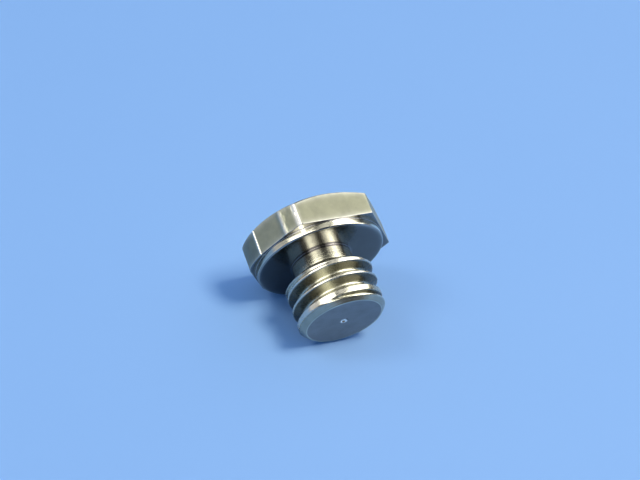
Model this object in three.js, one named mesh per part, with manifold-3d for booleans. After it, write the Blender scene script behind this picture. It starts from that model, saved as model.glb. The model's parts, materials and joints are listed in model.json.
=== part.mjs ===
// Hex bolt turned from hexagonal bar: a low head with a raised round bearing face, a smooth
// neck, about three turns of coarse right-hand thread and a chamfered tip with a centre mark.
// It is one piece of metal, so it is one named body. Lengths are in millimetres.
//
// The bolt is drawn upright along its own Z axis: z = 0 is the underside of the hexagon, the
// shank points to +Z and the middle of one wrench flat faces +Y. It is then laid down on its
// side, the way it rests on a level table: tip toward -Y, leaning on its last thread.
import * as THREE from "three";
import { mergeVertices } from "three/addons/utils/BufferGeometryUtils.js";
import Module from "manifold-3d";

// ---- head ----
const acrossFlats = 14.1;
const headHeight = 3.25;
const headChamferInset = 0.4;           // from the flats in to the round area left on the end
const headChamferAngle = 30;            // degrees, measured from the end of the head
const flatCount = 6;

// ---- raised bearing face under the head ----
const bearingInset = 0.175;             // from the flats in to the rim of the bearing face
const bearingThickness = 0.75;
const bearingEdgeChamfer = 0.12;
const clearanceHoleGap = 0.3;           // between the thread and a hole that it passes through

// ---- neck between the bearing face and the thread ----
const neckDiameter = 6.45;
const neckLength = 1.65;                // straight part, from the bearing face
const runoutAngle = 60;                 // degrees between the thread's first cone and the axis

// ---- thread ----
const threadDiameter = 9.5;
const threadPitch = 1.5875;             // sixteen turns to the inch
const threadAngle = 60;                 // degrees between the two flanks
const crestFlatShare = 1 / 8;           // crest width as a share of the pitch
const rootFlatShare = 1 / 6;            // root width as a share of the pitch
const crestHeightAtTop = 5.16;          // where the middle crest crosses the +Y side

// ---- tip ----
const shankLength = 8.1;                // from the underside of the hexagon to the end face
const tipChamfer = 0.6;                 // at 45 degrees, from the crests in to the end face
const dimpleDiameter = 1;
const dimpleDepth = 0.25;

// ---- fineness of the curved surfaces ----
const roundSegments = 96;
const profileTurnsSpare = 2;            // extra turns drawn beyond each end, then cut away
const bodyOverlap = 0.5;                // how far two volumes reach into each other when joined

const degree = Math.PI / 180;
const fullTurn = 2 * Math.PI;
const threadRadius = threadDiameter / 2;
const tipRadius = threadRadius - tipChamfer;
const neckRadius = neckDiameter / 2;
const bearingRadius = acrossFlats / 2 - bearingInset;
const cornerRadius = acrossFlats / 2 / Math.cos(Math.PI / flatCount);
const neckEnd = bearingThickness + neckLength;
const clearanceHoleRadius = threadRadius + clearanceHoleGap;

const manifold = await Module();
manifold.setup();

// Turn a closed three.js geometry into a solid that can be added, cut or intersected.
function toSolid(geometry) {
  const bare = geometry.clone();
  bare.deleteAttribute("normal");
  bare.deleteAttribute("uv");
  const merged = mergeVertices(bare, 1e-5);
  const mesh = new manifold.Mesh({
    numProp: 3,
    vertProperties: new Float32Array(merged.attributes.position.array),
    triVerts: new Uint32Array(merged.index.array),
  });
  return new manifold.Manifold(mesh);
}

// Turn a solid back into a three.js geometry.
function toGeometry(solid) {
  const mesh = solid.getMesh();
  const geometry = new THREE.BufferGeometry();
  geometry.setAttribute("position", new THREE.BufferAttribute(mesh.vertProperties, mesh.numProp));
  geometry.setIndex(new THREE.BufferAttribute(mesh.triVerts, 1));
  geometry.computeVertexNormals();
  return geometry;
}

// A turned solid about Z. Each corner of the outline is [radius, height], bottom to top.
function turned(outline) {
  const points = outline.map(([radius, height]) => new THREE.Vector2(radius, height));
  const lathe = new THREE.LatheGeometry(points, roundSegments);
  lathe.rotateX(Math.PI / 2);
  return toSolid(lathe);
}

// The hexagonal bar, long enough for the head and turned so that one flat faces +Y.
function hexagonBar() {
  const outline = new THREE.Shape();
  for (let corner = 0; corner < flatCount; corner += 1) {
    const angle = (corner * fullTurn) / flatCount;
    const x = cornerRadius * Math.cos(angle);
    const y = cornerRadius * Math.sin(angle);
    if (corner === 0) {
      outline.moveTo(x, y);
    } else {
      outline.lineTo(x, y);
    }
  }
  outline.closePath();
  const bar = new THREE.ExtrudeGeometry(outline, { depth: headHeight, bevelEnabled: false });
  bar.translate(0, 0, -headHeight);
  return toSolid(bar);
}

// The head: the bar with the corners of its outer end turned off to a cone.
function head() {
  const flatRadius = acrossFlats / 2 - headChamferInset;
  const outerRadius = cornerRadius + bodyOverlap;
  const coneHeight = (outerRadius - flatRadius) * Math.tan(headChamferAngle * degree);
  const cutter = turned([
    [0, -headHeight],
    [flatRadius, -headHeight],
    [outerRadius, coneHeight - headHeight],
    [outerRadius, bodyOverlap],
    [0, bodyOverlap],
  ]);
  return hexagonBar().intersect(cutter);
}

// The raised bearing face and the neck that stands on it. The face is divided where the edge
// of a clearance hole comes, so its outer ring is what the clamped plate really touches.
function bearingAndNeck() {
  return turned([
    [0, -bodyOverlap],
    [bearingRadius, -bodyOverlap],
    [bearingRadius, bearingThickness - bearingEdgeChamfer],
    [bearingRadius - bearingEdgeChamfer, bearingThickness],
    [clearanceHoleRadius, bearingThickness],
    [neckRadius, bearingThickness],
    [neckRadius, neckEnd + bodyOverlap],
    [0, neckEnd + bodyOverlap],
  ]);
}

// One pitch of the thread outline, as [share of the pitch, radius], starting on the crest.
function threadOutline() {
  const halfCrest = crestFlatShare / 2;
  const halfRoot = rootFlatShare / 2;
  const flankLength = (0.5 - halfCrest - halfRoot) * threadPitch;
  const depth = flankLength / Math.tan((threadAngle / 2) * degree);
  const rootRadius = threadRadius - depth;
  return [
    [-halfCrest, threadRadius],
    [halfCrest, threadRadius],
    [0.5 - halfRoot, rootRadius],
    [0.5 + halfRoot, rootRadius],
  ];
}

// A plain threaded rod, longer than needed at both ends, as one closed helical surface.
function threadedRod() {
  const outline = threadOutline();
  const firstTurn = Math.floor((neckEnd - crestHeightAtTop) / threadPitch) - profileTurnsSpare;
  const lastTurn = Math.ceil((shankLength - crestHeightAtTop) / threadPitch) + profileTurnsSpare;
  const rows = [];
  for (let turn = firstTurn; turn <= lastTurn; turn += 1) {
    for (const [share, radius] of outline) {
      rows.push({ height: crestHeightAtTop + (turn + share) * threadPitch, radius });
    }
  }
  const positions = [];
  for (const row of rows) {
    for (let step = 0; step <= roundSegments; step += 1) {
      const angle = (step * fullTurn) / roundSegments;
      const rise = ((angle - Math.PI / 2) / fullTurn) * threadPitch;
      positions.push(row.radius * Math.cos(angle), row.radius * Math.sin(angle), row.height + rise);
    }
  }
  return toSolid(helicalSurface(positions, rows.length, outline.length));
}

// Join the rows of points into a closed surface. The last column is the first column one
// turn further up, so the seam is stepped over by using the row one turn ahead.
function helicalSurface(positions, rowCount, rowsPerTurn) {
  const columns = roundSegments + 1;
  const place = (row, column) => row * columns + column;
  const triangles = [];
  for (let row = 0; row + 1 < rowCount; row += 1) {
    for (let column = 0; column < roundSegments; column += 1) {
      const a = place(row, column);
      const b = place(row, column + 1);
      const c = place(row + 1, column + 1);
      const d = place(row + 1, column);
      triangles.push(a, b, c, a, c, d);
    }
  }
  addEndCap(positions, triangles, lowerRim(place, rowsPerTurn), true);
  addEndCap(positions, triangles, upperRim(place, rowCount, rowsPerTurn), false);
  const geometry = new THREE.BufferGeometry();
  geometry.setAttribute("position", new THREE.Float32BufferAttribute(positions, 3));
  geometry.setIndex(triangles);
  return geometry;
}

// The open edge at the lower end: once round the first row, then down the seam step.
function lowerRim(place, rowsPerTurn) {
  const rim = [];
  for (let column = 0; column < roundSegments; column += 1) {
    rim.push(place(0, column));
  }
  for (let row = rowsPerTurn; row > 0; row -= 1) {
    rim.push(place(row, 0));
  }
  return rim;
}

// The open edge at the upper end: once round the last row, then down the seam step.
function upperRim(place, rowCount, rowsPerTurn) {
  const rim = [];
  for (let column = 1; column <= roundSegments; column += 1) {
    rim.push(place(rowCount - 1, column));
  }
  for (let row = rowCount - 2; row >= rowCount - 1 - rowsPerTurn; row -= 1) {
    rim.push(place(row, roundSegments));
  }
  return rim;
}

// Close one end with a fan of triangles round a point on the axis.
function addEndCap(positions, triangles, rim, facesDown) {
  let height = 0;
  for (const point of rim) {
    height += positions[point * 3 + 2] / rim.length;
  }
  const centre = positions.length / 3;
  positions.push(0, 0, height);
  for (let i = 0; i < rim.length; i += 1) {
    const here = rim[i];
    const next = rim[(i + 1) % rim.length];
    if (facesDown) {
      triangles.push(centre, next, here);
    } else {
      triangles.push(centre, here, next);
    }
  }
}

// The threaded part: the rod cut to length, coned where it leaves the neck and at the tip.
function thread() {
  const outerRadius = threadRadius + bodyOverlap;
  const runoutLength = (outerRadius - neckRadius) / Math.tan(runoutAngle * degree);
  const tipChamferLength = outerRadius - tipRadius;
  const envelope = turned([
    [0, neckEnd],
    [neckRadius, neckEnd],
    [outerRadius, neckEnd + runoutLength],
    [outerRadius, shankLength - tipChamferLength],
    [tipRadius, shankLength],
    [0, shankLength],
  ]);
  return threadedRod().intersect(envelope);
}

// The small cone left in the middle of the end face by the lathe centre.
function dimple() {
  const slope = dimpleDiameter / 2 / dimpleDepth;
  const clear = bodyOverlap;
  return turned([
    [0, shankLength - dimpleDepth],
    [dimpleDiameter / 2 + slope * clear, shankLength + clear],
    [0, shankLength + clear],
  ]);
}

// The angle by which the tip drops when the bolt lies on the rim of its bearing face and
// rolls down until some part of the shank touches the table.
function restingLean(geometry) {
  const rimHeight = bearingThickness - bearingEdgeChamfer;
  const points = geometry.attributes.position;
  let lean = Math.PI / 2;
  for (let i = 0; i < points.count; i += 1) {
    const height = points.getZ(i);
    if (height > bearingThickness) {
      const drop = bearingRadius + points.getY(i);
      lean = Math.min(lean, Math.atan2(drop, height - rimHeight));
    }
  }
  return lean;
}

// The whole bolt as one closed body, upright.
function boltGeometry() {
  const solid = head().add(bearingAndNeck()).add(thread()).subtract(dimple());
  return toGeometry(solid);
}

// Lay the bolt on the table: lean it, then bring its lowest point to z = 0 and centre it.
function layDown(bolt, lean) {
  bolt.rotation.x = Math.PI / 2 + lean;
  bolt.updateMatrixWorld(true);
  const box = new THREE.Box3().setFromObject(bolt, true);
  bolt.position.set(-(box.min.x + box.max.x) / 2, -(box.min.y + box.max.y) / 2, -box.min.z);
}

function hexBolt() {
  const steel = new THREE.MeshStandardMaterial({ color: 0x8d918c, metalness: 1, roughness: 0.35 });
  const geometry = boltGeometry();
  const bolt = new THREE.Mesh(geometry, steel);
  bolt.name = "hex_bolt";
  layDown(bolt, restingLean(geometry));
  return bolt;
}

const object = new THREE.Group();
object.name = "object";
object.add(hexBolt());

export default object;
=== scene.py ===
"""A hex bolt lying on a pale table, on the rim of its bearing face and its last thread.

The bolt is one turned and threaded piece of steel. Its surface is built here as one
closed grid of rings: every ring is a step along the bolt's outline, from the middle of
the head's end face to the middle of the tip, and every column is an angle round the bolt.
"""

import json
import math

import bpy
import numpy as np
from mathutils import Matrix, Vector


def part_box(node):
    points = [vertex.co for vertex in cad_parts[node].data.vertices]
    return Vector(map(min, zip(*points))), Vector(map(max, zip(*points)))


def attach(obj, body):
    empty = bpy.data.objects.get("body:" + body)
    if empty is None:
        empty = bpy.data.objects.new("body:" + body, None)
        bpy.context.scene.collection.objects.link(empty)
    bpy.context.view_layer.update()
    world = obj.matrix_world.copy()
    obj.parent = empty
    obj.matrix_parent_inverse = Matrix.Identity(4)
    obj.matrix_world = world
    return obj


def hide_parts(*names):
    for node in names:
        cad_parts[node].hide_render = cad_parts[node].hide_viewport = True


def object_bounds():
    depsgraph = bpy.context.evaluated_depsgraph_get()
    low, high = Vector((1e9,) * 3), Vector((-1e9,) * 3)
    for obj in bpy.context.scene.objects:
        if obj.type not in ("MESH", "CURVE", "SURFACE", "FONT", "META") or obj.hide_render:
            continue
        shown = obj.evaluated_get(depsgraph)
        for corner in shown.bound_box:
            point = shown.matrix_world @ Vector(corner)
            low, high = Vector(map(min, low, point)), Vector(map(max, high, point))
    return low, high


MM = 0.001

# The bolt's own sizes, in millimetres. Its z runs from the underside of the hexagon to
# the tip, its y is the normal of the flat that faces up, and angles are turned from its x.
ACROSS_FLATS = 14.1
HEAD_HEIGHT = 3.25
HEAD_CHAMFER_INSET = 0.4
HEAD_CHAMFER_ANGLE = 30
BEARING_INSET = 0.175
BEARING_THICKNESS = 0.75
BEARING_EDGE_CHAMFER = 0.12
NECK_DIAMETER = 6.45
NECK_LENGTH = 1.65
RUNOUT_ANGLE = 60
THREAD_DIAMETER = 9.5
THREAD_PITCH = 1.5875
CREST_FLAT_SHARE = 1 / 8
ROOT_FLAT_SHARE = 1 / 6
CREST_HEIGHT_AT_TOP = 5.16
SHANK_LENGTH = 8.1
TIP_CHAMFER = 0.6
DIMPLE_DIAMETER = 1
DIMPLE_DEPTH = 0.25

APOTHEM = ACROSS_FLATS / 2
CORNER_RADIUS = APOTHEM / math.cos(math.radians(30))
CHAMFER_START_RADIUS = APOTHEM - HEAD_CHAMFER_INSET
BEARING_RADIUS = APOTHEM - BEARING_INSET
NECK_RADIUS = NECK_DIAMETER / 2
NECK_END = BEARING_THICKNESS + NECK_LENGTH
THREAD_RADIUS = THREAD_DIAMETER / 2
TIP_RADIUS = THREAD_RADIUS - TIP_CHAMFER
FLANK_SLOPE = math.tan(math.radians(60))
FLANK_WIDTH = THREAD_PITCH * (1 - CREST_FLAT_SHARE - ROOT_FLAT_SHARE) / 2
ROOT_RADIUS = THREAD_RADIUS - FLANK_WIDTH * FLANK_SLOPE

# How far the edges and bends are rounded, in millimetres.
HEXAGON_ROUNDING = 0.1
FACE_EDGE_ROUNDING = 0.03
CREST_ROUNDING = 0.11
ROOT_ROUNDING = 0.22
RUNOUT_ROUNDING = 0.12
TIP_ROUNDING = 0.08
NECK_ROUNDING = 0.1

# Wear on the flat beside the upper one, where a spanner has slipped: the flat keeps its
# plane between two edges, and leans in from each edge to its corner. Angles are in degrees.
WORN_FLAT_ANGLE = 150
SOFT_EDGE_ANGLE = 133
SOFT_EDGE_LEAN = 6
SOFT_EDGE_ROUNDING = 0.03
SOFT_BURR_WIDTH = 2.4
SOFT_BURR_HEIGHT = 0.055
SHARP_EDGE_ANGLE = 164
SHARP_EDGE_LEAN = 12
SHARP_EDGE_ROUNDING = 0.02
SHARP_BURR_WIDTH = 0.7
SHARP_BURR_HEIGHT = 0.05
BROKEN_EDGE_ANGLE = 120
BROKEN_EDGE_DEPTH = 0.17
BROKEN_EDGE_ROUNDING = 0.03
DENT_DEPTH = 0.035
NICK_DEPTH = 0.006

# Corners of the hexagon that are worn round: how much of each is gone, by its angle. The
# first one, at the end of the worn flat, is also blunter than the others.
ROUNDED_CORNERS = {180: 0.62, 240: 0.75}
ROUNDED_CORNER_ROUNDING = 0.3
BLUNT_CORNER_ANGLE = 180
BLUNT_CORNER_WIDTH = 9
BLUNT_CORNER_ROUNDING = 0.6

# Wear on the thread: slight all over, and much more on the last crest. Beyond that crest
# the groove is only a narrow scratch, which fades out on the left.
FINE_WEAR = 0.001
BROAD_WEAR = 0.005
LAST_CREST_WEAR = 0.14
SCRATCH_DEPTH = 0.42
SCRATCH_WIDTH = 0.165
SCRATCH_TURNS = 1.42
FIRST_GROOVE_START = 3.25
FIRST_GROOVE_FULL = 3.95

# How dark the painted shade is on each part of the surface, from 0 to 1. It dims the reflections on
# the top flat, on the flat beyond the sharp edge and on one side of the collar.
# It also darkens the bearing face, the ledge and the thread's flanks where they show shade.
TOP_FLAT_SHADE = 0.48
BEYOND_SHARP_EDGE_SHADE = 0.35
BEARING_FACE_SHADE = 0.62
COLLAR_SHADE = 0.45
LEDGE_SHADE = 0.6
FLANK_SHADE = 0.95

# The material of each part of the surface, in the order that the mesh holds them.
MILLED, TURNED, FACED, THREAD = range(4)

# The mesh: columns round the bolt, and rings along each stretch of its outline.
COLUMNS = 512
COLUMN_CROWDING = 4
COLUMN_CROWDING_WIDTH = 2.5
BEND_RINGS = 4
NECK_ROOT_HEIGHT = 0.25
SHAFT_STEP = 0.03
END_FACE_RINGS = 26
DIMPLE_RINGS = 9
DIMPLE_WALL_SHARE = 0.65

# The camera: angles in degrees, lens and sensor in millimetres, the rest in metres.
CAMERA_AZIMUTH = -29.804
CAMERA_ELEVATION = 40.531
CAMERA_ROLL = 10.864
CAMERA_DISTANCE = 0.206541
CAMERA_LENS = 112.5
CAMERA_SENSOR_WIDTH = 36
CAMERA_AIM_RIGHT = -0.00068
CAMERA_AIM_UP = 0.002422

# Lights and floor, in metres, and the usual colour of a strip.
STRIP_DISTANCE = 0.45
TOP_CARD_DISTANCE = 0.55
LAMP_DISTANCE = 0.60
FLOOR_HALF_WIDTH = 1.5
WARM = (1.0, 0.97, 0.90)

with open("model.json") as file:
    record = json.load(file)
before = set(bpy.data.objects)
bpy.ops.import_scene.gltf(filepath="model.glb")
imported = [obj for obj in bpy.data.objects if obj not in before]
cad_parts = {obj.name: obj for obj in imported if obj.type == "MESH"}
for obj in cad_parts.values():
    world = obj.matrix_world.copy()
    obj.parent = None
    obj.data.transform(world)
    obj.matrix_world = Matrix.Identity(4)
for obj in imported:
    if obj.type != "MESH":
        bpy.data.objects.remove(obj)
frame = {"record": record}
cad_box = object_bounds()
middle = (cad_box[0] + cad_box[1]) / 2


# ---------------------------------------------------------------- small mathematics

def smooth_step(x, start, end):
    """0 up to start, 1 from end on, and an even rise between. end may be below start."""
    t = np.clip((x - start) / (end - start), 0, 1)
    return t * t * (3 - 2 * t)


def smooth_min(a, b, width):
    """The lower of two, blended where they are within width of each other."""
    t = np.clip(0.5 + 0.5 * (b - a) / width, 0, 1)
    return b + (a - b) * t - width * t * (1 - t)


def smooth_max(a, b, width):
    """The higher of two, blended in the same way."""
    return -smooth_min(-a, -b, width)


def hump(x, peak, width):
    """A smooth bell: 1 at the peak, and about a third of that one width away."""
    return np.exp(-((x - peak) / width) ** 2)


def turns_round(angle):
    """The share of a turn from the bottom of the bolt, from 0 to 1."""
    return (angle + 90) / 360


def lumps(around, along, cells_around, cell_along, seed):
    """Smooth noise from -1 to 1 that closes round the bolt. around is in turns."""
    rows = int(np.ceil(np.max(along) / cell_along)) + 3
    table = np.random.default_rng(seed).uniform(-1, 1, (rows, cells_around))
    u = (around % 1) * cells_around
    v = along / cell_along
    iu = np.floor(u).astype(int)
    iv = np.floor(v).astype(int)
    fu = smooth_step(u - iu, 0, 1)
    fv = smooth_step(v - iv, 0, 1)
    left = iu % cells_around
    right = (iu + 1) % cells_around
    low = table[iv, left] * (1 - fu) + table[iv, right] * fu
    high = table[iv + 1, left] * (1 - fu) + table[iv + 1, right] * fu
    return low * (1 - fv) + high * fv


# ---------------------------------------------------------------- the bolt's outline

def column_angles():
    """Angles from -90 to 270 degrees, closer together near the hexagon's edges."""
    even = np.linspace(-90, 270, 4001)
    edges = [60 * n for n in range(-1, 5)] + [SHARP_EDGE_ANGLE, SOFT_EDGE_ANGLE]
    density = 1 + sum(COLUMN_CROWDING * hump(even, e, COLUMN_CROWDING_WIDTH) for e in edges)
    total = np.concatenate([[0], np.cumsum((density[1:] + density[:-1]) / 2)])
    shares = np.arange(COLUMNS) / COLUMNS
    return np.interp(shares, total / total[-1], even)


def plane_radius(angle, normal, distance):
    """Radius of a plane across the bolt's axis at that distance, kept finite past its ends."""
    smallest_cosine = 0.2
    return distance / np.maximum(np.cos(np.radians(angle - normal)), smallest_cosine)


def leaning_plane_radius(angle, edge_angle, lean):
    """The worn flat's plane turned by lean about the edge at edge_angle."""
    edge_radius = plane_radius(edge_angle, WORN_FLAT_ANGLE, APOTHEM)
    normal = WORN_FLAT_ANGLE + lean
    distance = edge_radius * math.cos(math.radians(edge_angle - normal))
    return plane_radius(angle, normal, distance)


def hexagon_radius(angle):
    """The head's side: six flats, the planes that a spanner left on one, and worn corners."""
    radius = np.full_like(angle, 2 * CORNER_RADIUS)
    blunt = BLUNT_CORNER_ROUNDING * hump(angle, BLUNT_CORNER_ANGLE, BLUNT_CORNER_WIDTH)
    for n in range(6):
        away = (angle - (30 + 60 * n) + 180) % 360 - 180
        flat = plane_radius(away, 0, APOTHEM)
        radius = smooth_min(radius, flat, HEXAGON_ROUNDING + blunt)
    soft = leaning_plane_radius(angle, SOFT_EDGE_ANGLE, -SOFT_EDGE_LEAN)
    radius = smooth_min(radius, soft, SOFT_EDGE_ROUNDING)
    sharp = leaning_plane_radius(angle, SHARP_EDGE_ANGLE, SHARP_EDGE_LEAN)
    radius = smooth_min(radius, sharp, SHARP_EDGE_ROUNDING)
    broken = plane_radius(angle, BROKEN_EDGE_ANGLE, CORNER_RADIUS - BROKEN_EDGE_DEPTH)
    radius = smooth_min(radius, broken, BROKEN_EDGE_ROUNDING)
    for corner, depth in ROUNDED_CORNERS.items():
        cut_off = plane_radius(angle, corner, CORNER_RADIUS - depth)
        radius = smooth_min(radius, cut_off, ROUNDED_CORNER_ROUNDING)
    sharp_burr = SHARP_BURR_HEIGHT * hump(angle, SHARP_EDGE_ANGLE, SHARP_BURR_WIDTH)
    soft_burr = SOFT_BURR_HEIGHT * hump(angle, SOFT_EDGE_ANGLE, SOFT_BURR_WIDTH)
    return radius + sharp_burr + soft_burr


def thread_radius(angle, z):
    """The thread with its wear, as if it ran on past both its ends."""
    crest_z = CREST_HEIGHT_AT_TOP + THREAD_PITCH * (angle - 90) / 360
    turns = (z - crest_z) / THREAD_PITCH
    crest = np.round(turns)
    away = np.abs(turns - crest) * THREAD_PITCH
    fine = lumps(turns_round(angle), z, cells_around=100, cell_along=0.22, seed=3)
    broad = lumps(turns_round(angle), z, cells_around=30, cell_along=0.7, seed=4)

    worn = FINE_WEAR * (1 + fine) + BROAD_WEAR * (1 + broad)
    flattened = LAST_CREST_WEAR * smooth_step(angle, -60, 0) * (1 - smooth_step(angle, 80, 120))
    crest_radius = THREAD_RADIUS - worn - flattened * (crest == 1)
    flank = THREAD_RADIUS - (away - THREAD_PITCH * CREST_FLAT_SHARE / 2) * FLANK_SLOPE
    cut = smooth_min(crest_radius, flank, CREST_ROUNDING)
    cut = smooth_max(cut, np.full_like(z, ROOT_RADIUS), ROOT_ROUNDING)

    scratch = SCRATCH_DEPTH * hump(z, crest_z + SCRATCH_TURNS * THREAD_PITCH, SCRATCH_WIDTH)
    scratch *= 1 - smooth_step(angle, 88, 138)
    land = THREAD_RADIUS - worn - flattened - scratch
    past_last_crest = smooth_step(turns, 1.0, 1.08) * smooth_step(angle, -70, -10)
    filled = np.maximum(past_last_crest, smooth_step(turns, 2.0, 2.08))

    plain = THREAD_RADIUS - worn
    thread = plain + (cut - plain) * smooth_step(z, FIRST_GROOVE_START, FIRST_GROOVE_FULL)
    return thread + (land - thread) * filled


def shaft_radius(angle, z):
    """Neck, thread and tip chamfer. angle and z are arrays of one shape."""
    start_cone = NECK_RADIUS + (z - NECK_END) * math.tan(math.radians(RUNOUT_ANGLE))
    tip_cone = TIP_RADIUS + (SHANK_LENGTH - z)
    radius = smooth_min(thread_radius(angle, z), start_cone, RUNOUT_ROUNDING)
    radius = smooth_min(radius, tip_cone, TIP_ROUNDING)
    return smooth_max(radius, np.full_like(z, NECK_RADIUS), NECK_ROUNDING)


def point_towards(start, end, distance):
    """The point at that distance from start on the way to end. Points are [radius, z]."""
    length = np.hypot(end[0] - start[0], end[1] - start[1])
    return [start[i] + (end[i] - start[i]) * distance / length for i in range(2)]


def line_rings(start, end, count):
    """Rings from start up to, but not at, end, and how close each is to either."""
    steps = np.arange(count)
    shares = (steps / count)[:, None]
    rings = [start[i] + (end[i] - start[i]) * shares for i in range(2)]
    steps_from_bend = np.minimum(steps, count - steps)
    return rings, 0.8 * np.exp(-steps_from_bend / 2)


def bend_rings(start, corner, end):
    """Rings on a curve that leaves start towards the corner and reaches end from it."""
    t = (np.arange(BEND_RINGS) / BEND_RINGS)[:, None]
    rings = [
        (1 - t) ** 2 * start[i] + 2 * t * (1 - t) * corner[i] + t * t * end[i]
        for i in range(2)
    ]
    return rings, np.ones(BEND_RINGS)


def outline(corners, angle):
    """Joins corners, each (radius, z, round-off, rings to the next), with rounded bends.
    Returns radius and z arrays, a row for each ring, and how close each row is to a bend."""
    points = [
        [np.broadcast_to(np.asarray(value, float), angle.shape) for value in corner[:2]]
        for corner in corners
    ]
    stretches = []
    leave = points[0]
    for n in range(1, len(corners)):
        before, here = points[n - 1], points[n]
        round_off = corners[n][2]
        near = point_towards(here, before, round_off)
        stretches.append(line_rings(leave, near, corners[n - 1][3]))
        if n < len(corners) - 1:
            leave = point_towards(here, points[n + 1], round_off)
            stretches.append(bend_rings(near, here, leave))
    radius = np.concatenate([rings[0] for rings, bend in stretches])
    z = np.concatenate([rings[1] for rings, bend in stretches])
    return radius, z, np.concatenate([bend for rings, bend in stretches])


def head_outline(angle):
    """From the middle of the head's end face to the foot of the neck."""
    hexagon = hexagon_radius(angle)
    chamfer_slope = math.tan(math.radians(HEAD_CHAMFER_ANGLE))
    chamfer_z = -HEAD_HEIGHT + (hexagon - CHAMFER_START_RADIUS) * chamfer_slope
    face_radius = BEARING_RADIUS - BEARING_EDGE_CHAMFER
    rim_z = BEARING_THICKNESS - BEARING_EDGE_CHAMFER
    corners = [
        (0, -HEAD_HEIGHT, 0, 26),
        (CHAMFER_START_RADIUS, -HEAD_HEIGHT, 0.08, 8),
        (hexagon, chamfer_z, 0.06, 24),
        (hexagon, 0, 0.05, 6),
        (BEARING_RADIUS, 0, 0.04, 8),
        (BEARING_RADIUS, rim_z, FACE_EDGE_ROUNDING, 2),
        (face_radius, BEARING_THICKNESS, FACE_EDGE_ROUNDING, 36),
        (NECK_RADIUS, BEARING_THICKNESS, FACE_EDGE_ROUNDING, 3),
        (NECK_RADIUS, BEARING_THICKNESS + NECK_ROOT_HEIGHT, 0, 1),
    ]
    return outline(corners, angle)


def tip_rings(rim):
    """The tip's end face from its rim inward, and the dimple in its middle."""
    dimple_radius = DIMPLE_DIAMETER / 2
    steps = END_FACE_RINGS + 1
    outward = 1 - (np.arange(1, steps) / steps)[:, None]
    face_r = dimple_radius + (rim - dimple_radius) * outward
    face_z = np.full_like(face_r, SHANK_LENGTH)
    inward = (np.arange(DIMPLE_RINGS) / DIMPLE_RINGS)[:, None]
    dimple_r = dimple_radius * (1 - inward) + np.zeros_like(rim)
    sunk = DIMPLE_DEPTH * smooth_step(inward, 0, DIMPLE_WALL_SHARE)
    dimple_z = SHANK_LENGTH - sunk + np.zeros_like(rim)
    return np.concatenate([face_r, dimple_r]), np.concatenate([face_z, dimple_z])


def bolt_grid():
    """The angle of every column, the radius and z of every point, how close each ring of
    the head is to a bend, and the number of rings on the shaft."""
    angle = column_angles()
    head_r, head_z, head_bend = head_outline(angle)
    start = BEARING_THICKNESS + NECK_ROOT_HEIGHT
    count = round((SHANK_LENGTH - start) / SHAFT_STEP) + 1
    shape = (count, len(angle))
    shaft_z = np.broadcast_to(np.linspace(start, SHANK_LENGTH, count)[:, None], shape)
    shaft_r = shaft_radius(np.broadcast_to(angle, shape), shaft_z)
    tip_r, tip_z = tip_rings(shaft_r[-1])
    r = np.concatenate([head_r[1:], shaft_r, tip_r])
    z = np.concatenate([head_z[1:], shaft_z, tip_z])
    return angle, r, z, head_bend[1:], count


# ---------------------------------------------------------------- wear, painted highlights and painted shade
#
# The first value is 1 where the steel is made bright, for wear and as a painted highlight, and the
# second is painted shade, 1 where it darkens the steel most.

def head_wear_highlight_and_shade(angle, r, z, bend):
    """Edges of the hexagon made bright, for wear and as painted highlights, and painted shade on two
    of its flats, on one side of the collar, on the bearing face and on the ledge.
    """
    # Painted highlight, partly wear: brighter steel along the three spanner-worn edges.
    highlit_and_worn_edges = sum(
        share * hump(angle, edge_angle, width)
        for edge_angle, width, share in (
            (BROKEN_EDGE_ANGLE, 1.9, 1.0),
            (SOFT_EDGE_ANGLE, 1.6, 0.6),
            (SHARP_EDGE_ANGLE, 1.0, 1.0),
        )
    )
    on_side = r > BEARING_RADIUS + 0.05
    off_neck = smooth_step(r, NECK_RADIUS + 0.3, NECK_RADIUS + 0.6)
    # A little painted highlight, partly wear, at every bend of the outline away from the neck.
    highlight_and_wear = np.maximum(0.3 * bend[:, None] * off_neck, highlit_and_worn_edges * on_side)

    # Painted shade on the top flat and beyond the sharp edge, dimming their reflections, and on the
    # bearing face, one side of the collar and the ledge.
    top_flat = smooth_step(angle, 58, 62) * (1 - smooth_step(angle, 118, 120))
    beyond_sharp_edge = smooth_step(angle, 165, 168)
    side_shade = TOP_FLAT_SHADE * top_flat + BEYOND_SHARP_EDGE_SHADE * beyond_sharp_edge
    off_neck_foot = smooth_step(r, NECK_RADIUS, NECK_RADIUS + 0.3)
    on_bearing_face = (z > BEARING_THICKNESS - 0.02) * off_neck_foot
    on_collar = (z > 0.05) * (r > BEARING_RADIUS - 0.2)
    on_ledge = (np.abs(z) < 0.03) * (r > BEARING_RADIUS + 0.02)
    painted_shade = np.maximum(BEARING_FACE_SHADE * on_bearing_face, side_shade * on_side)
    painted_shade = np.maximum(painted_shade, COLLAR_SHADE * smooth_step(angle, 94, 106) * on_collar)
    return highlight_and_wear, np.maximum(painted_shade, LEDGE_SHADE * on_ledge)


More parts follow.
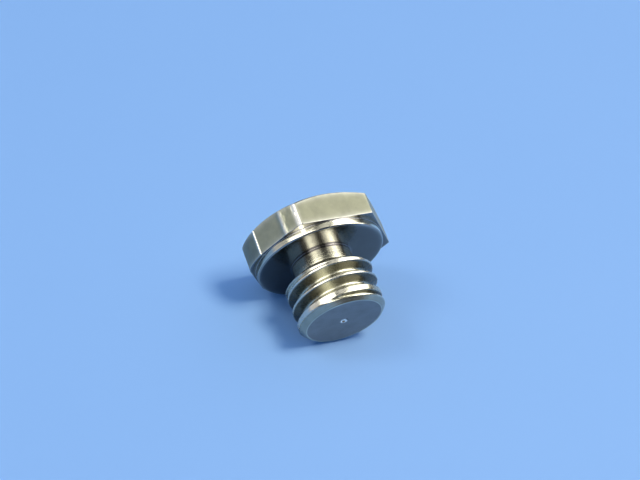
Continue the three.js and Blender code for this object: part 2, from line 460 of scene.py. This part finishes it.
def shaft_wear_highlight_and_shade(angle, r, z):
    """Crests made bright, for wear and as a painted highlight, and painted shade on the flank of each
    crest that faces the tip, left off along a streak where the flanks show a reflection, with a
    little painted shade on the crests too."""
    # Painted highlight, partly wear, on the crests.
    highlight_and_wear = 0.35 * smooth_step(r, THREAD_RADIUS - 0.12, THREAD_RADIUS - 0.02)
    threaded = smooth_step(z, NECK_END + 0.3, NECK_END + 0.8)
    slope = np.gradient(r, axis=0) / SHAFT_STEP
    tip_side = smooth_step(-slope, 0.2, 1.7)
    # Painted shade on the tip-side flanks, left off near 116 degrees where they show a reflection.
    flank_shade = FLANK_SHADE * (1 - hump(angle, 116, 11))
    return highlight_and_wear, np.maximum(tip_side * flank_shade * threaded, 0.3 * highlight_and_wear)


def dimple_highlight_and_shade(angle, r):
    """A painted highlight on the dimple's lower wall and painted shade on its upper wall."""
    dimple_radius = DIMPLE_DIAMETER / 2
    in_dimple = smooth_step(r, dimple_radius, dimple_radius - 0.15)
    height = r * np.sin(np.radians(angle))
    highlight_and_wear = in_dimple * smooth_step(height, -0.02, -0.14)
    return highlight_and_wear, in_dimple * smooth_step(height, 0.0, 0.12)


def wear_highlight_and_shade_values(angle, r, z, head_bend, shaft_rows):
    """The bright values, for wear and painted highlights, and the painted shade values of every
    point.
    """
    head = slice(0, len(head_bend))
    shaft = slice(head.stop, head.stop + shaft_rows)
    tip = slice(shaft.stop, None)
    parts = [
        head_wear_highlight_and_shade(angle, r[head], z[head], head_bend),
        shaft_wear_highlight_and_shade(angle, r[shaft], z[shaft]),
        dimple_highlight_and_shade(angle, r[tip]),
    ]
    return [np.concatenate(values) for values in zip(*parts)]


def dented(angle, r, z, head_rows):
    """Small dents between the soft edge and its corner, and slight nicks on every flat."""
    head = slice(0, head_rows)
    around = np.broadcast_to(turns_round(angle), r[head].shape)
    along = z[head] + HEAD_HEIGHT
    on_side = r[head] > BEARING_RADIUS + 0.1
    battered = smooth_step(angle, 117, 121) * (1 - smooth_step(angle, 131, 136))
    dents = lumps(around, along, cells_around=230, cell_along=0.22, seed=11)
    nicks = lumps(around, along, cells_around=90, cell_along=0.5, seed=12)
    hollows = DENT_DEPTH * battered * np.minimum(dents, 0) + NICK_DEPTH * np.minimum(nicks, 0)
    r = r.copy()
    r[head] += on_side * hollows
    return r


# ---------------------------------------------------------------- placing and meshing

def mount(name):
    """The place and the direction of one of the record's mounts."""
    found = [m for m in frame["record"]["mounts"] if m["name"] == name][0]
    return Vector(found["pos_m"]), Vector(found["axis"]).normalized()


def bolt_placement():
    """The bolt's own frame in the object's frame: a matrix from metres to metres."""
    upper_point, up = mount("wrench_flat")
    tip_point, along = mount("tip_face")
    side = up.cross(along)
    low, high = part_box("hex_bolt")
    box_middle = (low + high) / 2
    along_origin = tip_point.dot(along) - SHANK_LENGTH * MM
    up_origin = upper_point.dot(up) - APOTHEM * MM
    origin = side * box_middle.dot(side) + up * up_origin + along * along_origin
    placement = Matrix((side, up, along)).transposed().to_4x4()
    placement.translation = origin
    return placement


def closed_grid_mesh(name, angle, r, z, zones):
    """One closed mesh: rings of points, and a middle point at each end."""
    rows, columns = r.shape
    turn = np.radians(angle)
    points = np.stack([r * np.cos(turn), r * np.sin(turn), z], axis=2).reshape(-1, 3)
    ends = np.array([[0, 0, -HEAD_HEIGHT], [0, 0, SHANK_LENGTH - DIMPLE_DEPTH]])
    points = np.concatenate([points, ends])
    index = np.arange(rows * columns).reshape(rows, columns)
    beside = np.roll(index, -1, axis=1)
    quads = np.stack([index[:-1], beside[:-1], beside[1:], index[1:]], axis=2).reshape(-1, 4)
    first, last = rows * columns, rows * columns + 1
    faces = [(first, b, a) for a, b in zip(index[0], beside[0])]
    faces += quads.tolist()
    faces += [(last, a, b) for a, b in zip(index[-1], beside[-1])]
    mesh = bpy.data.meshes.new(name)
    mesh.from_pydata(points.tolist(), [], faces)
    quad_zones = np.repeat(zones[:-1], columns)
    face_zones = np.concatenate([np.full(columns, zones[0]), quad_zones, np.full(columns, zones[-1])])
    mesh.polygons.foreach_set("material_index", face_zones.astype(np.int32))
    mesh.polygons.foreach_set("use_smooth", np.ones(len(faces), bool))
    return mesh, points


def add_value(mesh, name, values):
    """Gives every ring's points their value, and 0 to the middle points of the two ends."""
    data = np.concatenate([values.ravel(), [0, 0]]).astype(np.float32)
    mesh.attributes.new(name, "FLOAT", "POINT").data.foreach_set("value", data)


def ring_zones(radius, height, head_rows, shaft_rows):
    """The material of each ring, from its mean radius and height."""
    rows = np.arange(len(radius))
    on_head = rows < head_rows
    on_hexagon = on_head & (height < -0.06)
    on_collar = on_head & (radius > BEARING_RADIUS - 0.01) & (height > 0.04)
    on_shaft = (rows >= head_rows) & (rows < head_rows + shaft_rows)
    zones = np.full(len(rows), FACED)
    zones[on_hexagon] = MILLED
    zones[on_hexagon & (radius < CHAMFER_START_RADIUS - 0.04)] = TURNED
    zones[on_collar | on_shaft] = TURNED
    zones[on_shaft & (height > NECK_END)] = THREAD
    zones[on_shaft & (height > SHANK_LENGTH - TIP_CHAMFER + 0.1)] = TURNED
    return zones


def make_bolt():
    """The bolt's whole surface, in the place of the plain solid."""
    angle, r, z, head_bend, shaft_rows = bolt_grid()
    highlight_and_wear, painted_shade = wear_highlight_and_shade_values(angle, r, z, head_bend, shaft_rows)
    r = dented(angle, r, z, len(head_bend))
    zones = ring_zones(r.mean(axis=1), z.mean(axis=1), len(head_bend), shaft_rows)
    mesh, points = closed_grid_mesh("bolt_surface", angle, r, z, zones)
    # The painted highlights, partly wear, and the painted shade go to the materials as point values.
    add_value(mesh, "highlight_and_wear", highlight_and_wear)
    add_value(mesh, "painted_shade", painted_shade)
    own = mesh.attributes.new("bolt_space", "FLOAT_VECTOR", "POINT")
    own.data.foreach_set("vector", points.astype(np.float32).ravel())
    mesh.transform(bolt_placement() @ Matrix.Scale(MM, 4))
    mesh.update()
    bolt = bpy.data.objects.new("bolt_surface", mesh)
    bpy.context.scene.collection.objects.link(bolt)
    for material in (milled_steel(), turned_steel(), shaded_faced_steel(), thread_steel()):
        mesh.materials.append(material)
    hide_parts("hex_bolt")
    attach(bolt, "root")


# ---------------------------------------------------------------- materials

class Nodes:
    """A short way to write a material's nodes."""

    def __init__(self, name):
        self.material = bpy.data.materials.new(name)
        self.material.use_nodes = True
        self.tree = self.material.node_tree
        self.shader = self.tree.nodes["Principled BSDF"]

    def node(self, kind, **settings):
        made = self.tree.nodes.new(kind)
        for key, value in settings.items():
            setattr(made, key, value)
        return made

    def link(self, output, target):
        self.tree.links.new(output, target)

    def attribute(self, name):
        return self.node("ShaderNodeAttribute", attribute_name=name)

    def math(self, operation, a, b=None):
        made = self.node("ShaderNodeMath", operation=operation)
        for socket, value in zip(made.inputs, (a, b)):
            if value is None:
                continue
            if isinstance(value, (int, float)):
                socket.default_value = value
            else:
                self.link(value, socket)
        return made.outputs[0]

    def noise(self, vector, scale, detail=3.0, rough=0.5, dimensions="3D"):
        made = self.node("ShaderNodeTexNoise", noise_dimensions=dimensions)
        made.inputs["Scale"].default_value = scale
        made.inputs["Detail"].default_value = detail
        made.inputs["Roughness"].default_value = rough
        self.link(vector, made.inputs["W" if dimensions == "1D" else "Vector"])
        return made.outputs["Fac"]

    def ramp(self, value, low, high):
        made = self.node("ShaderNodeMapRange")
        made.inputs["From Min"].default_value = low[0]
        made.inputs["From Max"].default_value = high[0]
        made.inputs["To Min"].default_value = low[1]
        made.inputs["To Max"].default_value = high[1]
        self.link(value, made.inputs["Value"])
        return made.outputs["Result"]

    def mix(self, share, a, b):
        made = self.node("ShaderNodeMix", data_type="RGBA")
        for socket, value in ((made.inputs[0], share), (made.inputs[6], a), (made.inputs[7], b)):
            if isinstance(value, (tuple, int, float)):
                socket.default_value = value
            else:
                self.link(value, socket)
        return made.outputs[2]

    def bolt_space(self):
        """The place on the bolt, in the bolt's own millimetres."""
        return self.attribute("bolt_space").outputs["Vector"]

    def turned_way(self):
        """Distance along the bolt's outline, in millimetres: height less radius."""
        split = self.node("ShaderNodeSeparateXYZ")
        self.link(self.bolt_space(), split.inputs[0])
        x = self.math("MULTIPLY", split.outputs[0], split.outputs[0])
        y = self.math("MULTIPLY", split.outputs[1], split.outputs[1])
        radius = self.math("SQRT", self.math("ADD", x, y))
        return self.math("SUBTRACT", split.outputs[2], radius)

    def bump(self, height, strength, distance, under=None):
        made = self.node("ShaderNodeBump")
        made.inputs["Strength"].default_value = strength
        made.inputs["Distance"].default_value = distance
        self.link(height, made.inputs["Height"])
        if under is not None:
            self.link(under, made.inputs["Normal"])
        return made.outputs["Normal"]


def steel(name, plain, dull, highlight_and_wear_colour, roughness, cloud_scale):
    """Steel with cloudy colour, painted shade where the mesh holds it, and edges made bright for wear
    and as painted highlights.
    """
    # The near-black that the painted shade darkens the steel towards.
    shade_colour = (0.05, 0.047, 0.036, 1)
    n = Nodes(name)
    place = n.bolt_space()
    clouds = n.ramp(n.noise(place, cloud_scale, 4.0, 0.6), (0.35, 0.0), (0.7, 1.0))
    colour = n.mix(clouds, plain, dull)
    # Painted shade: the colour darkens where the mesh's shade value is high.
    painted_shade = n.attribute("painted_shade").outputs["Fac"]
    colour = n.mix(n.math("MULTIPLY", painted_shade, 0.92), colour, shade_colour)
    # Painted highlight, partly wear: the colour brightens in patches where the mesh's bright value is
    # high.
    patches = n.ramp(n.noise(place, 2.5, 4.0, 0.6), (0.35, 0.75), (0.6, 1.0))
    highlight_and_wear = n.math("MULTIPLY", n.attribute("highlight_and_wear").outputs["Fac"], patches)
    n.link(n.mix(highlight_and_wear, colour, highlight_and_wear_colour), n.shader.inputs["Base Color"])
    smudges = n.ramp(n.noise(place, 1.7, 5.0, 0.65), (0.3, roughness[0]), (0.7, roughness[1]))
    smoother_edge = n.math("MULTIPLY", highlight_and_wear, 0.08)
    n.link(n.math("SUBTRACT", smudges, smoother_edge), n.shader.inputs["Roughness"])
    n.shader.inputs["Metallic"].default_value = 1.0
    return n


def milled_steel():
    """The hexagon's sides and its chamfer: satin, with fine grain and a few pits."""
    n = steel(
        "milled_steel",
        plain=(0.26, 0.272, 0.20, 1),
        dull=(0.205, 0.215, 0.162, 1),
        highlight_and_wear_colour=(0.85, 0.85, 0.80, 1),
        roughness=(0.36, 0.50),
        cloud_scale=0.8,
    )
    stretch = n.node("ShaderNodeVectorMath", operation="MULTIPLY")
    stretch.inputs[1].default_value = (30, 30, 2.0)
    n.link(n.bolt_space(), stretch.inputs[0])
    grain = n.noise(stretch.outputs[0], 1.0, 2.0)
    pits = n.ramp(n.noise(n.bolt_space(), 3.0, 3.0, 0.6), (0.66, 0.0), (0.76, -1.0))
    grained = n.bump(grain, 0.25, 0.00001)
    n.link(n.bump(pits, 0.4, 0.00004, grained), n.shader.inputs["Normal"])
    return n.material


def turned_steel():
    """The collar's side, the neck, the tip's chamfer and the head's end face: nearly
    polished, with rings from the tool."""
    n = steel(
        "turned_steel",
        plain=(0.68, 0.68, 0.56, 1),
        dull=(0.58, 0.58, 0.48, 1),
        highlight_and_wear_colour=(0.85, 0.84, 0.78, 1),
        roughness=(0.14, 0.24),
        cloud_scale=0.9,
    )
    rings = n.noise(n.turned_way(), 7.0, 4.0, 0.65, "1D")
    n.link(n.bump(rings, 0.35, 0.00002), n.shader.inputs["Normal"])
    return n.material


def shaded_faced_steel():
    """The bearing face, the ledge round it and the tip's end face: mirror-like, with fine
    rings, and painted darker than the other steel as shade for the shaded floor they reflect."""
    n = steel(
        "shaded_faced_steel",
        # These dark colours are painted shade.
        plain=(0.235, 0.228, 0.225, 1),
        dull=(0.19, 0.185, 0.182, 1),
        highlight_and_wear_colour=(0.85, 0.84, 0.78, 1),
        roughness=(0.10, 0.20),
        cloud_scale=0.9,
    )
    rings = n.noise(n.turned_way(), 7.0, 4.0, 0.65, "1D")
    n.link(n.bump(rings, 0.3, 0.00002), n.shader.inputs["Normal"])
    return n.material


def thread_steel():
    """The thread: cut steel with rings from the tool and a slightly torn surface."""
    n = steel(
        "thread_steel",
        plain=(0.47, 0.465, 0.375, 1),
        dull=(0.37, 0.365, 0.295, 1),
        highlight_and_wear_colour=(0.85, 0.84, 0.80, 1),
        roughness=(0.20, 0.34),
        cloud_scale=1.5,
    )
    rings = n.noise(n.turned_way(), 5.0, 4.0, 0.6, "1D")
    torn = n.noise(n.bolt_space(), 6.0, 4.0, 0.6)
    ringed = n.bump(rings, 0.3, 0.000015)
    n.link(n.bump(torn, 0.06, 0.00001, ringed), n.shader.inputs["Normal"])
    return n.material


def floor_material():
    """Pale blue and matt, with faint clouds."""
    n = Nodes("pale_floor")
    place = n.node("ShaderNodeTexCoord").outputs["Object"]
    clouds = n.noise(place, 12.0, 3.0)
    colour = n.mix(clouds, (0.222, 0.435, 0.90, 1), (0.237, 0.455, 0.92, 1))
    n.link(colour, n.shader.inputs["Base Color"])
    n.shader.inputs["Roughness"].default_value = 0.75
    n.shader.inputs["Specular IOR Level"].default_value = 0.2
    return n.material


# ---------------------------------------------------------------- stage, lights, camera

def make_floor():
    """A plain floor at the height that the bolt lies on."""
    half = FLOOR_HALF_WIDTH
    corners = [(-half, -half, 0), (half, -half, 0), (half, half, 0), (-half, half, 0)]
    mesh = bpy.data.meshes.new("floor")
    mesh.from_pydata(corners, [], [(0, 1, 2, 3)])
    mesh.materials.append(floor_material())
    floor = bpy.data.objects.new("floor", mesh)
    bpy.context.scene.collection.objects.link(floor)


def add_light(name, light, direction, distance, colour):
    """Places a light at that distance from the bolt, facing it, with its length along y."""
    light.color = colour
    lamp = bpy.data.objects.new(name, light)
    towards = Vector(direction).normalized()
    across = Vector((0, 1, 0)).cross(towards).normalized()
    pose = Matrix((across, towards.cross(across), towards)).transposed().to_4x4()
    pose.translation = middle + towards * distance
    lamp.matrix_world = pose
    bpy.context.scene.collection.objects.link(lamp)
    return lamp


def glossy_strip(name, direction, size, radiance, colour=WARM, distance=STRIP_DISTANCE):
    """A long soft light that shows in the metal. radiance is what a mirror shows of it."""
    light = bpy.data.lights.new(name, "AREA")
    light.shape = "RECTANGLE"
    light.size = size[0]
    light.size_y = size[1]
    light.energy = radiance * math.pi * size[0] * size[1]
    add_light(name, light, direction, distance, colour).visible_diffuse = False


def floor_lamp(name, direction, width, brightness, colour):
    """A small round light for the floor and the shadow. brightness is what it gives a
    white floor, as a share of full white, if it stood right overhead."""
    light = bpy.data.lights.new(name, "AREA")
    light.shape = "DISK"
    light.size = width
    light.energy = brightness * math.pi * math.pi * LAMP_DISTANCE ** 2
    add_light(name, light, direction, LAMP_DISTANCE, colour).visible_glossy = False


def make_lights():
    """Soft strips and cards that the metal reflects, and two lamps that light the floor."""
    glossy_strip("right_strip", (0.66, -0.10, 0.68), (0.46, 0.86), 4.5)
    glossy_strip("left_strip", (-0.62, -0.12, 0.76), (0.34, 0.80), 4.1)
    glossy_strip("top_card", (0.02, 0.10, 0.99), (0.16, 0.60), 0.9, distance=TOP_CARD_DISTANCE)
    glossy_strip("front_left_card", (-0.57, -0.62, 0.55), (0.14, 0.14), 5.0)
    glossy_strip("front_right_card", (0.58, -0.62, 0.53), (0.16, 0.16), 9.0)
    glossy_strip("left_card", (-0.90, 0.44, 0.02), (0.34, 0.50), 0.75, (1.0, 0.97, 0.98))
    floor_lamp("key_lamp", (0.24, -0.31, 0.92), 0.19, 0.84, (1.0, 0.79, 0.52))
    floor_lamp("left_lamp", (-0.60, 0.10, 0.80), 0.20, 0.21, (1.0, 0.875, 0.69))


def mix_by_ray(tree, ray, other, own):
    """The colour own for that kind of ray, and other for the rest."""
    mix = tree.nodes.new("ShaderNodeMix")
    mix.data_type = "RGBA"
    path = tree.nodes.new("ShaderNodeLightPath")
    tree.links.new(path.outputs[ray], mix.inputs[0])
    for socket, colour in ((mix.inputs[6], other), (mix.inputs[7], own)):
        if isinstance(colour, tuple):
            socket.default_value = colour
        else:
            tree.links.new(colour, socket)
    return mix.outputs[2]


def make_world():
    """A plain dim room in the metal, a soft blue fill on the floor, and a pale backdrop."""
    world = bpy.data.worlds.new("studio")
    world.use_nodes = True
    tree = world.node_tree
    split = tree.nodes.new("ShaderNodeSeparateXYZ")
    direction = tree.nodes.new("ShaderNodeTexCoord").outputs["Generated"]
    tree.links.new(direction, split.inputs[0])
    room = tree.nodes.new("ShaderNodeValToRGB")
    horizon, overhead = room.color_ramp.elements
    horizon.position = 0.05
    horizon.color = (0.14, 0.15, 0.17, 1)
    overhead.position = 0.75
    overhead.color = (0.13, 0.13, 0.13, 1)
    tree.links.new(split.outputs[2], room.inputs[0])
    fill = (0.14, 0.31, 0.47, 1)
    backdrop = (0.45, 0.62, 0.90, 1)
    colour = mix_by_ray(tree, "Is Glossy Ray", fill, room.outputs[0])
    colour = mix_by_ray(tree, "Is Camera Ray", colour, backdrop)
    tree.links.new(colour, tree.nodes["Background"].inputs["Color"])
    bpy.context.scene.world = world


def make_camera():
    """Looks at the bolt from in front, to the left and above, rolled a little."""
    azimuth = math.radians(CAMERA_AZIMUTH)
    elevation = math.radians(CAMERA_ELEVATION)
    level = math.cos(elevation)
    back = Vector((math.sin(azimuth) * level, -math.cos(azimuth) * level, math.sin(elevation)))
    turn = back.to_track_quat("Z", "Y")
    right = turn @ Vector((1, 0, 0))
    up = turn @ Vector((0, 1, 0))
    roll = math.radians(CAMERA_ROLL)
    camera_right = right * math.cos(roll) + up * math.sin(roll)
    camera_up = up * math.cos(roll) - right * math.sin(roll)
    aim = middle + camera_right * CAMERA_AIM_RIGHT + camera_up * CAMERA_AIM_UP
    data = bpy.data.cameras.new("camera")
    data.lens = CAMERA_LENS
    data.sensor_width = CAMERA_SENSOR_WIDTH
    data.clip_start = 0.01
    data.clip_end = 10
    camera = bpy.data.objects.new("camera", data)
    pose = Matrix((camera_right, camera_up, back)).transposed().to_4x4()
    pose.translation = aim + back * CAMERA_DISTANCE
    camera.matrix_world = pose
    bpy.context.scene.collection.objects.link(camera)
    bpy.context.scene.camera = camera


make_camera()
make_bolt()
make_floor()
make_world()
make_lights()
bpy.context.scene.view_settings.view_transform = "Standard"
